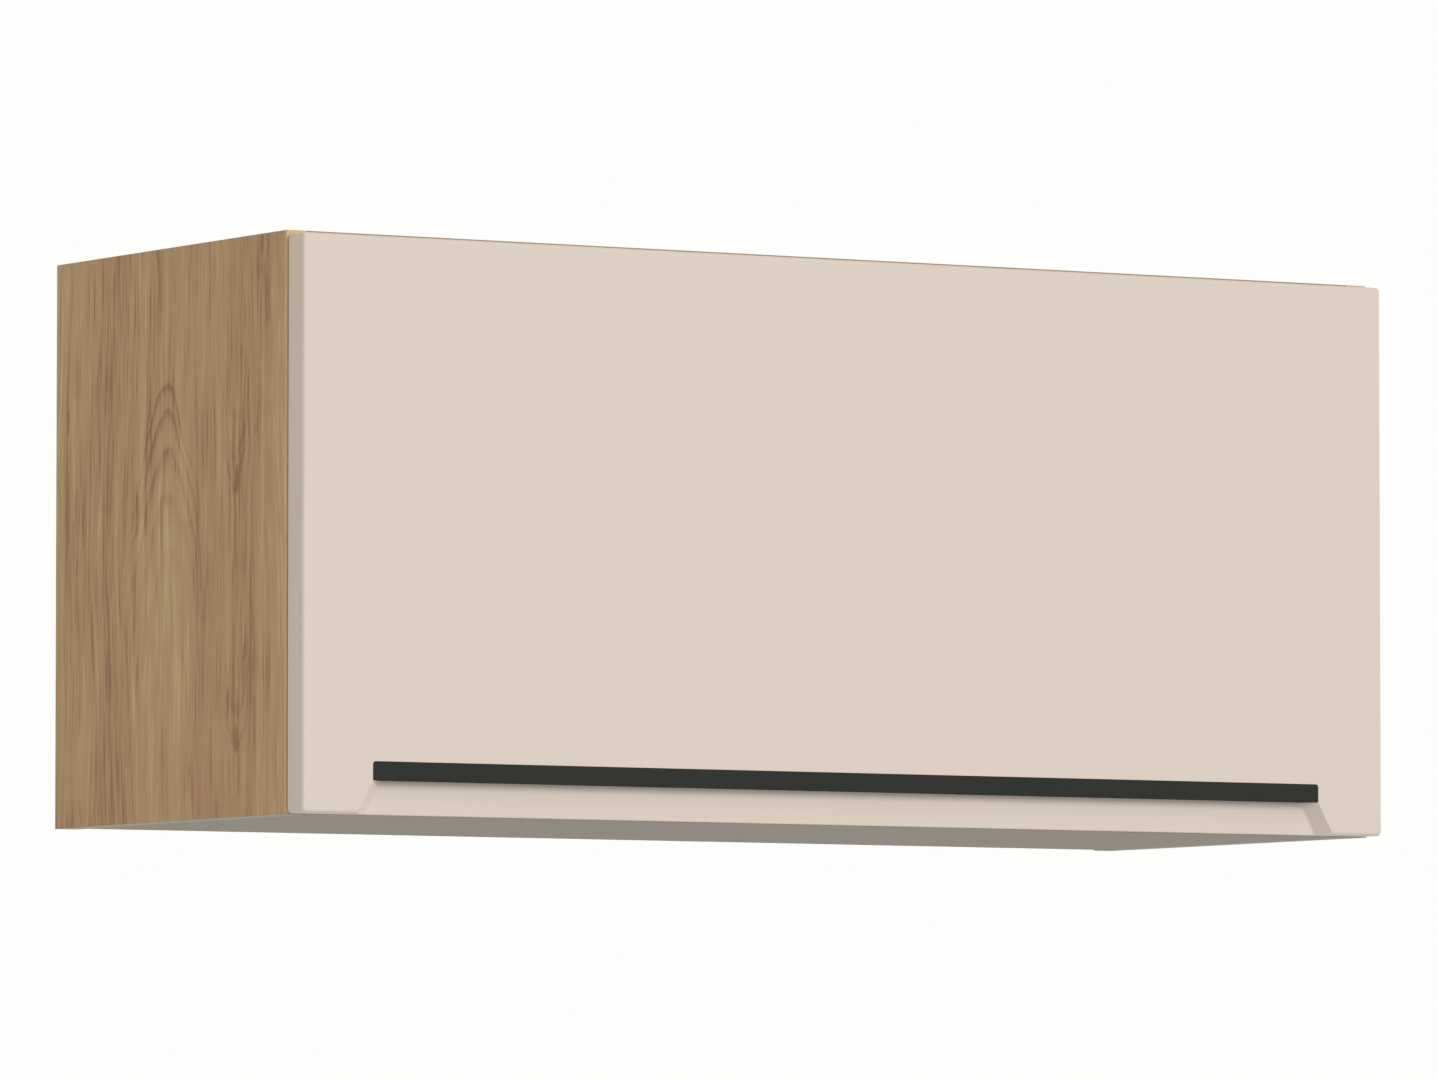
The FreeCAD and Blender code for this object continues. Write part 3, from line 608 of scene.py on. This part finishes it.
class Shaping:
    """Edit mode on a piece: faces, edges or corners are picked by place, then a tool is run."""

    def __init__(self, piece):
        self.piece = piece

    def __enter__(self):
        work_on(self.piece)
        bpy.ops.object.mode_set(mode="EDIT")
        return self

    def __exit__(self, *trouble):
        bpy.ops.object.mode_set(mode="OBJECT")

    def pick(self, kind, test):
        bpy.ops.mesh.select_mode(type=kind)
        bpy.ops.mesh.select_all(action="DESELECT")
        mesh = bmesh.from_edit_mesh(self.piece.data)
        for part in {"FACE": mesh.faces, "EDGE": mesh.edges, "VERT": mesh.verts}[kind]:
            if test(part):
                part.select_set(True)
        mesh.select_flush_mode()
        bmesh.update_edit_mesh(self.piece.data)
        return self

    def faces(self, way):
        """Faces that look along a way."""
        return self.pick("FACE", lambda face: face.normal.dot(Vector(way)) > 0.99)

    def edges(self, test):
        return self.pick("EDGE", lambda edge: test(*(v.co for v in edge.verts)))

    def corners(self, test):
        return self.pick("VERT", lambda corner: test(corner.co))

    def round(self, radius, steps):
        bpy.ops.mesh.bevel(offset=radius, segments=steps, affect="EDGES", profile=0.5)

    def move(self, x=0.0, y=0.0, z=0.0):
        bpy.ops.transform.translate(value=(x, y, z))

    def inset(self, width):
        bpy.ops.mesh.inset(thickness=width, use_even_offset=True)

    def extrude(self, x=0.0, z=0.0):
        bpy.ops.mesh.extrude_region_move(TRANSFORM_OT_translate={"value": (x, 0.0, z)})

    def narrow(self, share):
        bpy.ops.transform.resize(value=(share, share, 1.0))


def runs(axis):
    """A test for edges that run along an axis."""
    def test(first, last):
        step = last - first
        return abs(step[axis]) > 0.999 * step.length
    return test


def both(axis, value):
    """A test for edges that lie at one value of an axis."""
    return lambda first, last: all(abs(end[axis] - value) < SAME_PLACE for end in (first, last))


def modify(piece, kind, **settings):
    work_on(piece)
    modifier = piece.modifiers.new(kind.title(), kind)
    for name, value in settings.items():
        setattr(modifier, name, value)
    bpy.ops.object.modifier_apply(modifier=modifier.name)


def carve(piece, cutter, how="DIFFERENCE"):
    """Cuts the cutter out of the piece, or keeps only what it covers, and removes it."""
    modify(piece, "BOOLEAN", operation=how, object=cutter, solver="EXACT")
    bpy.data.objects.remove(cutter)


def soften(piece, width, limit=35.0):
    """Bevels all edges sharper than a limit in degrees, and merges the slivers."""
    modify(piece, "BEVEL", width=width, segments=2, limit_method="ANGLE",
           angle_limit=math.radians(limit), use_clamp_overlap=True, harden_normals=False)
    with Shaping(piece):
        bpy.ops.mesh.select_all(action="SELECT")
        bpy.ops.mesh.remove_doubles(threshold=SLIVER)


def smooth(piece, angle=32.0):
    """Shades a piece smoothly across edges up to an angle in degrees."""
    work_on(piece)
    bpy.ops.object.shade_smooth_by_angle(angle=math.radians(angle))
    modify(piece, "WEIGHTED_NORMAL", mode="FACE_AREA", weight=60, keep_sharp=True)


def copy_of_node(node, name):
    """A merged copy of a node's mesh, to be given softer edges."""
    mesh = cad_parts[node].data.copy()
    mesh.materials.clear()
    piece = bpy.data.objects.new(name, mesh)
    bpy.context.scene.collection.objects.link(piece)
    work_on(piece)
    bpy.ops.mesh.customdata_custom_splitnormals_clear()
    with Shaping(piece):
        bpy.ops.mesh.select_all(action="SELECT")
        bpy.ops.mesh.remove_doubles(threshold=SAME_CORNER)
        bpy.ops.mesh.dissolve_limited(angle_limit=math.radians(1.0))
    return piece


def deliver(piece, finish, slot, body, *nodes):
    """Gives the piece its finish, its body and the nodes that it stands for."""
    piece.data.materials.clear()
    piece.data.materials.append(material(finish))
    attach(piece, body)
    if nodes:
        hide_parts(*nodes)
    work_on(None)


def copy_to(master, name, point, way):
    """A copy of a master that stands on the origin, with its +Z turned to a way."""
    copy = master.copy()
    copy.data = master.data.copy()
    copy.name = copy.data.name = name
    bpy.context.scene.collection.objects.link(copy)
    turn = Vector((0, 0, 1)).rotation_difference(Vector(way)).to_matrix().to_4x4()
    copy.matrix_world = Matrix.Translation(point) @ turn
    work_on(copy)
    bpy.ops.object.transform_apply(location=True, rotation=True, scale=True)
    return copy


# ---------------------------------------------------------------- operators

class CABINET_OT_stage(bpy.types.Operator):
    """Set up the camera, the floor and the soft studio light"""

    bl_idname = "cabinet.stage"
    bl_label = "Studio"

    def execute(self, context):
        scene = context.scene
        scene.view_settings.view_transform = "Standard"
        work_on(None)
        bpy.ops.object.camera_add(location=CAMERA_PLACE, rotation=(
            math.radians(CAMERA_PITCH), 0.0, math.radians(CAMERA_HEADING)))
        camera = context.object
        camera.name = "photo_camera"
        camera.data.sensor_width = CAMERA_SENSOR
        camera.data.lens = CAMERA_LENS
        camera.data.clip_end = CAMERA_REACH
        scene.camera = camera

        floor_z = CAD_BOX[0][Z] - scene.cabinet_sizes.floor_drop
        work_on(None)
        bpy.ops.mesh.primitive_plane_add(size=FLOOR_SIZE, location=(0, 0, floor_z))
        floor = settle("studio_floor")
        floor.data.materials.append(finish_material("pale_floor", self.paint_floor))

        bpy.ops.object.light_add(type="SUN", location=(1.5, -4.0, 2.5))
        lamp = context.object
        lamp.name = "soft_key"
        lamp.data.energy = SUN_ENERGY
        lamp.data.color = SUN_COLOUR
        lamp.data.angle = math.radians(SUN_ANGLE)
        lamp.rotation_euler = Vector(SUN_TOWARDS).to_track_quat("Z", "Y").to_euler()
        self.light_world(scene)
        return {"FINISHED"}

    @staticmethod
    def paint_floor(tree):
        cloud = tree.noise(tree.place(), 0.002, 3.0)
        tone = tree.blend(cloud.ramp(0.35, 0.65), shade(243, 243, 241), shade(240, 240, 239))
        return {"Base Color": tone, "Roughness": cloud * 0.1 + 0.8}

    @staticmethod
    def light_world(scene):
        """An even pale light that the camera, reflections and refractions see as white."""
        scene.world = bpy.data.worlds.new("studio")
        scene.world.use_nodes = True
        tree = Tree(scene.world.node_tree)
        seen = tree.add("ShaderNodeLightPath", output=(
            "Is Camera Ray", "Is Glossy Ray", "Is Transmission Ray"))
        white = (seen[0] + seen[1] + seen[2]).math("MINIMUM", 1.0)
        light = tree.add("ShaderNodeBackground", None, {
            "Color": SKY_COLOUR, "Strength": SKY_STRENGTH})
        paper = tree.add("ShaderNodeBackground", None, {
            "Color": PAPER_COLOUR, "Strength": 1.0})
        mixed = tree.add("ShaderNodeMixShader", None, {0: white, 1: light, 2: paper})
        tree.add("ShaderNodeOutputWorld", None, {"Surface": mixed})


class CABINET_OT_boards(bpy.types.Operator):
    """Model the sides, the top and the bottom with softened outer edges"""

    bl_idname = "cabinet.boards"
    bl_label = "Boards"

    def execute(self, context):
        radius = context.scene.cabinet_sizes.board_edge
        for name, hand in HANDS:
            node = f"{name}_side_panel"
            low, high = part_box(node)
            board = copy_of_node(node, f"{name}_side_board")
            outer = both(X, high.x if hand > 0 else low.x)
            inner_front = both(X, low.x if hand > 0 else high.x)
            front = both(Y, low.y)
            with Shaping(board) as shape:
                shape.edges(lambda a, b: outer(a, b) and self.on_rim(a, b, low, high, (Y, Z))
                            or inner_front(a, b) and front(a, b))
                shape.round(radius, 3)
            smooth(board)
            deliver(board, f"{name}_wood", "grained_board", "carcass", node)
        for node, finish, slot in (("top_panel", "top_wood", "grained_board"),
                                   ("bottom_panel", "grey_laminate", "grey_board")):
            low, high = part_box(node)
            board = copy_of_node(node, node.replace("panel", "board"))
            front = both(Y, low.y)
            with Shaping(board) as shape:
                shape.edges(lambda a, b: front(a, b) and runs(X)(a, b)
                            and self.on_rim(a, b, low, high, (Z,)))
                shape.round(radius, 3)
            smooth(board)
            deliver(board, finish, slot, "carcass", node)
        return {"FINISHED"}

    @staticmethod
    def on_rim(first, last, low, high, axes):
        """True if the edge lies along the limits of the board's box on one of the axes."""
        return any(both(axis, limit[axis])(first, last) for axis in axes for limit in (low, high))


class CABINET_OT_door(bpy.types.Operator):
    """Model the door front with its flared finger recess"""

    bl_idname = "cabinet.door"
    bl_label = "Door"

    def execute(self, context):
        sizes = context.scene.cabinet_sizes
        low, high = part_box("door_panel")
        grip_low, grip_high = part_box("handle_profile")
        door = add_box("door_front", low, high)
        rear_edge, fit, spare = 0.5 * MM, 0.15 * MM, 5 * MM
        with Shaping(door) as shape:
            shape.edges(runs(Y)).round(sizes.door_corner, 6)
            shape.edges(both(Y, low.y)).round(sizes.door_edge, 6)
            shape.edges(both(Y, high.y)).round(rear_edge, 2)
        carve(door, self.recess_cutter(sizes, low, grip_low, grip_high))
        rebate = add_box("rebate_cutter", (grip_low.x - fit, low.y - spare, grip_low.z),
                         (grip_high.x + fit, grip_high.y + fit, grip_high.z + fit))
        with Shaping(rebate) as shape:
            shape.edges(lambda a, b: runs(Y)(a, b) and a.z > grip_low.z + MM)
            shape.round(sizes.handle_corner + fit, 5)
        carve(door, rebate)
        smooth(door, 25.0)
        deliver(door, "satin_lacquer", "beige_lacquer", "door", "door_panel")
        return {"FINISHED"}

    @staticmethod
    def recess_cutter(sizes, low, grip_low, grip_high):
        """A block as wide as the handle above, flaring downwards, with sloping ends."""
        deep, spare, flare, slope = 8 * MM, 2 * MM, 12.6 * MM, 1.15
        cutter = add_box("recess_cutter",
                         (grip_low.x - spare * slope, low.y - spare, low.z - spare),
                         (grip_high.x + spare * slope, low.y + deep, grip_low.z + 0.1 * MM))
        with Shaping(cutter) as shape:
            for hand in (-1, 1):
                shape.corners(lambda at: at.x * hand > 0 and at.z < low.z)
                shape.move(x=hand * flare)
                shape.corners(lambda at: at.x * hand > 0 and at.y > low.y)
                shape.move(x=-hand * (deep + spare) * slope)
            floor = both(Y, low.y + deep)
            shape.edges(lambda a, b: floor(a, b) and not runs(X)(a, b))
            shape.round(sizes.recess_cove, 6)
        return cutter


class CABINET_OT_handle(bpy.types.Operator):
    """Model the extruded handle profile with its rolled lip"""

    bl_idname = "cabinet.handle"
    bl_label = "Handle"

    def execute(self, context):
        low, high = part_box("handle_profile")
        wall, bead, lip_edge, face_edge = 2 * MM, 3 * MM, 1.3 * MM, 0.3 * MM
        upper, lower = context.scene.cabinet_sizes.handle_corner, 1.2 * MM
        grip = add_box("handle_grip", (low.x - MM, low.y - MM, low.z),
                       high + Vector((MM, MM, MM)))
        carve(grip, add_box("channel_cutter", (low.x - 2 * MM, low.y + wall, low.z + bead),
                            (high.x + 2 * MM, high.y - wall, high.z - wall)))
        carve(grip, add_box("mouth_cutter", (low.x - 2 * MM, low.y + bead, low.z - MM),
                            (high.x + 2 * MM, high.y - wall, low.z + bead + 0.5 * MM)))
        lip = both(Y, low.y + bead)
        with Shaping(grip) as shape:
            shape.edges(lambda a, b: lip(a, b) and runs(X)(a, b)).round(lip_edge, 6)
        outline = add_box("grip_outline", low, high)
        with Shaping(outline) as shape:
            shape.edges(lambda a, b: runs(Y)(a, b) and a.z > high.z - MM).round(upper, 5)
            shape.edges(lambda a, b: runs(Y)(a, b) and a.z < low.z + MM).round(lower, 4)
            shape.edges(both(Y, low.y)).round(face_edge, 3)
        carve(grip, outline, "INTERSECT")
        smooth(grip)
        deliver(grip, "black_anodised", "black_anodised", "door", "handle_profile")
        return {"FINISHED"}


class CABINET_OT_covers(bpy.types.Operator):
    """Model the moulded covers of the lift housings"""

    bl_idname = "cabinet.covers"
    bl_label = "Housing covers"

    def execute(self, context):
        corner, wall, hollow, trim = 14 * MM, 1.6 * MM, 12 * MM, 0.25 * MM
        for name, hand in HANDS:
            node = f"{name}_housing_cover"
            low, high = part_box(node)
            cover = add_box(f"{name}_cover", low, high)
            face = low.x if hand > 0 else high.x
            with Shaping(cover) as shape:
                shape.edges(runs(X)).round(corner, 8)
                shape.edges(both(X, face)).round(context.scene.cabinet_sizes.cover_edge, 5)
                shape.faces((hand, 0, 0)).inset(wall)
                shape.extrude(x=-hand * hollow)
            carve(cover, self.window_cutter(face))
            soften(cover, trim, 50.0)
            smooth(cover)
            deliver(cover, "moulded_plastic", "grey_plastic", "carcass", node)
        return {"FINISHED"}

    @staticmethod
    def window_cutter(face):
        """The five-sided window that the bearing block looks through."""
        reach, chamfer, spare = 10.3 * MM, 1 * MM, 3 * MM
        main_y, main_z = MAIN_PIVOT
        guide_y, guide_z = GUIDE_PIVOT
        cutter = add_box("window_cutter",
                         (face - spare, main_y - reach, guide_z - reach),
                         (face + spare, guide_y + reach, main_z + reach))
        with Shaping(cutter) as shape:
            shape.edges(lambda a, b: runs(X)(a, b) and a.z < main_z - reach
                        and a.y < main_y)
            shape.round(chamfer, 1)
            shape.corners(lambda at: at.y < main_y - reach + SAME_PLACE
                          and at.z < main_z - reach)
            shape.move(z=main_z - guide_z - chamfer)
            shape.corners(lambda at: at.z < guide_z - reach + SAME_PLACE and at.y < main_y)
            shape.move(y=guide_y - main_y - chamfer)
        return cutter


class CABINET_OT_steelwork(bpy.types.Operator):
    """Soften the stamped edges of the housings and the door brackets"""

    bl_idname = "cabinet.steelwork"
    bl_label = "Housings and brackets"

    def execute(self, context):
        width = context.scene.cabinet_sizes.metal_edge
        for name, hand in HANDS:
            for part, body in (("lift_housing", "carcass"), ("door_bracket", "door")):
                node = f"{name}_{part}"
                piece = copy_of_node(node, f"{node}_steel")
                soften(piece, width)
                smooth(piece)
                deliver(piece, "nickel_steel", "nickel_steel", body, node)
        return {"FINISHED"}


class CABINET_OT_arms(bpy.types.Operator):
    """Model the four lift arms and the shaft that joins the two sides"""

    bl_idname = "cabinet.arms"
    bl_label = "Arms and shaft"

    def execute(self, context):
        width = context.scene.cabinet_sizes.metal_edge
        hair = 0.01 * MM            # keeps the two roundings of an end apart
        near, far = ARM_LAYER
        kinds = (("main", MAIN_PIVOT, 9 * MM, SHAFT_RADIUS, "lift_arms"),
                 ("guide", GUIDE_PIVOT, 7.5 * MM, PIN_RADIUS + RUNNING, "{}_guide"))
        for name, hand in HANDS:
            for kind, (y, z), half, bore, body in kinds:
                node = f"{name}_{kind}_arm"
                sides = sorted((hand * near, hand * far))
                arm = add_box(f"{node}_steel", (sides[0], y - half, z - ARM_LENGTH - half),
                              (sides[1], y + half, z + half))
                with Shaping(arm) as shape:
                    shape.edges(runs(X)).round(half - hair, 12)
                middle = hand * (near + far) / 2
                for radius, height in ((bore, z), (PIN_RADIUS + RUNNING, z - ARM_LENGTH)):
                    carve(arm, add_rod("bore_cutter", (middle, y, height), radius, 0.02, X, 40))
                soften(arm, width)
                smooth(arm)
                deliver(arm, "nickel_steel", "nickel_steel", body.format(name), node)
        low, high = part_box("sync_shaft")
        y, z = MAIN_PIVOT
        shaft = add_rod("sync_shaft_steel", (0, y, z), SHAFT_RADIUS, high.x - low.x, X, 48)
        soften(shaft, 0.5 * MM, 60.0)
        smooth(shaft)
        deliver(shaft, "zinc_steel", "zinc_steel", "lift_arms", "sync_shaft")
        return {"FINISHED"}


class CABINET_OT_pins(bpy.types.Operator):
    """Model the headed pins that the arms turn on"""

    bl_idname = "cabinet.pins"
    bl_label = "Pins and studs"

    def execute(self, context):
        stop = INSIDE - PIN_HEADS
        shanks = (("door_pin", "door_pins", "door", INSIDE - BRACKET_LAYER,
                   [(y, z - ARM_LENGTH) for y, z in (MAIN_PIVOT, GUIDE_PIVOT)]),
                  ("guide_stud", "guide_studs", "carcass", INSIDE - STUD_FOOT,
                   [GUIDE_PIVOT]))
        for name, node, body, start, spots in shanks:
            master = self.pin_master(start, stop)
            for side, hand in HANDS:
                for number, (y, z) in enumerate(spots, start=1):
                    pin = copy_to(master, f"{side}_{name}_{number}", (hand * INSIDE, y, z),
                                  (-hand, 0, 0))
                    deliver(pin, "zinc_steel", "zinc_steel", body, node)
            bpy.data.objects.remove(master)
        return {"FINISHED"}

    @staticmethod
    def pin_master(start, stop):
        """A shank from start to stop, then a head with a dimple from its riveting."""
        head, thick, edge = 6.5 * MM, 2.5 * MM, 0.9 * MM
        rim, dimple, closing = 2.6 * MM, 0.35 * MM, 0.75
        pin = add_rod("pin_master", (0, 0, stop + thick / 2), head, thick, Z, 40)
        with Shaping(pin) as shape:
            shape.edges(both(Z, stop + thick)).round(edge, 4)
            shape.faces((0, 0, 1)).inset(rim)
            shape.extrude(z=-dimple)
            shape.narrow(closing)
            shape.faces((0, 0, -1)).inset(head - PIN_RADIUS)
            shape.extrude(z=start - stop)
        smooth(pin)
        return pin


class CABINET_OT_screws(bpy.types.Operator):
    """Model the pan-head screws of the housings and the brackets"""

    bl_idname = "cabinet.screws"
    bl_label = "Screws"

    def execute(self, context):
        master = self.screw_master()
        for side, hand in HANDS:
            for number, (y, z) in enumerate(HOUSING_SCREWS, start=1):
                screw = copy_to(master, f"{side}_housing_screw_{number}",
                                (hand * TRAY_FLOOR, y, z), (-hand, 0, 0))
                deliver(screw, "zinc_steel", "zinc_steel", "carcass", "housing_screws")
            for number, (x, z) in enumerate(BRACKET_SCREWS, start=1):
                screw = copy_to(master, f"{side}_bracket_screw_{number}",
                                (hand * x, BRACKET_FACE, z), (0, 1, 0))
                deliver(screw, "zinc_steel", "zinc_steel", "door", "bracket_screws")
        bpy.data.objects.remove(master)
        return {"FINISHED"}

    @staticmethod
    def screw_master():
        """A domed head with a cross recess, over a tapered shank."""
        head, high, dome = 3.75 * MM, 2.2 * MM, 1.3 * MM
        shank, long, tip, point = 2.0 * MM, 10.0 * MM, 3 * MM, 0.12
        screw = add_rod("screw_master", (0, 0, high / 2), head, high, Z, 32)
        with Shaping(screw) as shape:
            shape.edges(both(Z, high)).round(dome, 5)
            shape.faces((0, 0, -1)).inset(head - shank)
            shape.extrude(z=-long)
            shape.extrude(z=-tip)
            shape.narrow(point)
        reach, wide, deep, closing = 2.0 * MM, 0.45 * MM, 1.4 * MM, 0.62
        for across, along in ((reach, wide), (wide, reach)):
            cutter = add_box("cross_cutter", (-across, -along, high - deep),
                             (across, along, high + MM))
            with Shaping(cutter) as shape:
                shape.corners(lambda at: at.z < high)
                shape.narrow(closing)
            carve(screw, cutter)
        smooth(screw)
        return screw


class CABINET_OT_bumpers(bpy.types.Operator):
    """Model the soft bumpers on the back of the door"""

    bl_idname = "cabinet.bumpers"
    bl_label = "Bumpers"

    def execute(self, context):
        radius, thick, dome = 4 * MM, 0.9 * MM, 0.6 * MM
        master = add_rod("bumper_master", (0, 0, thick / 2), radius, thick, Z, 32)
        with Shaping(master) as shape:
            shape.edges(both(Z, thick)).round(dome, 4)
        smooth(master, 40.0)
        x, y, z = BUMPER_SPOT
        for side, hand in HANDS:
            bumper = copy_to(master, f"{side}_bumper", (hand * x, y, z), (0, 1, 0))
            deliver(bumper, "clear_rubber", "clear_rubber", "door", "door_bumpers")
        bpy.data.objects.remove(master)
        return {"FINISHED"}


class CABINET_OT_plain_parts(bpy.types.Operator):
    """Finish the parts whose shape is shown as the frame has it"""

    bl_idname = "cabinet.plain_parts"
    bl_label = "Back, rail and fixings"

    def execute(self, context):
        for node, finish in (("back_panel", "hardboard"), ("hanging_rail", "raw_board"),
                             ("corner_splines", "plywood"), ("back_panel_staples", "zinc_steel"),
                             ("spring_cartridges", "black_enamel")):
            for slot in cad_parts[node].material_slots:
                slot.material = material(finish)
        return {"FINISHED"}


class CABINET_PT_pieces(bpy.types.Panel):
    """Lists the steps that build the cabinet, and what may be changed"""

    bl_idname = "CABINET_PT_pieces"
    bl_label = "Lift-up Wall Cabinet"
    bl_space_type = "VIEW_3D"
    bl_region_type = "UI"
    bl_category = "Cabinet"

    def draw(self, context):
        layout = self.layout
        for group in (context.scene.cabinet_sizes, context.scene.cabinet_colours):
            box = layout.box()
            for name in group.bl_rna.properties.keys():
                if name not in ("rna_type", "name"):
                    box.prop(group, name)
        column = layout.column(align=True)
        for step in STEPS:
            column.operator(step.bl_idname)


STEPS = (
    CABINET_OT_stage, CABINET_OT_boards, CABINET_OT_door, CABINET_OT_handle, CABINET_OT_covers,
    CABINET_OT_steelwork, CABINET_OT_arms, CABINET_OT_pins, CABINET_OT_screws,
    CABINET_OT_bumpers, CABINET_OT_plain_parts,
)
CLASSES = (CabinetSizes, CabinetColours, *STEPS, CABINET_PT_pieces)


def register():
    for kind in CLASSES:
        bpy.utils.register_class(kind)
    bpy.types.Scene.cabinet_sizes = bpy.props.PointerProperty(type=CabinetSizes)
    bpy.types.Scene.cabinet_colours = bpy.props.PointerProperty(type=CabinetColours)


def unregister():
    del bpy.types.Scene.cabinet_colours
    del bpy.types.Scene.cabinet_sizes
    for kind in reversed(CLASSES):
        bpy.utils.unregister_class(kind)


def main():
    register()
    for step in STEPS:
        getattr(bpy.ops.cabinet, step.bl_idname.partition(".")[2])()


if __name__ == "__main__":
    main()
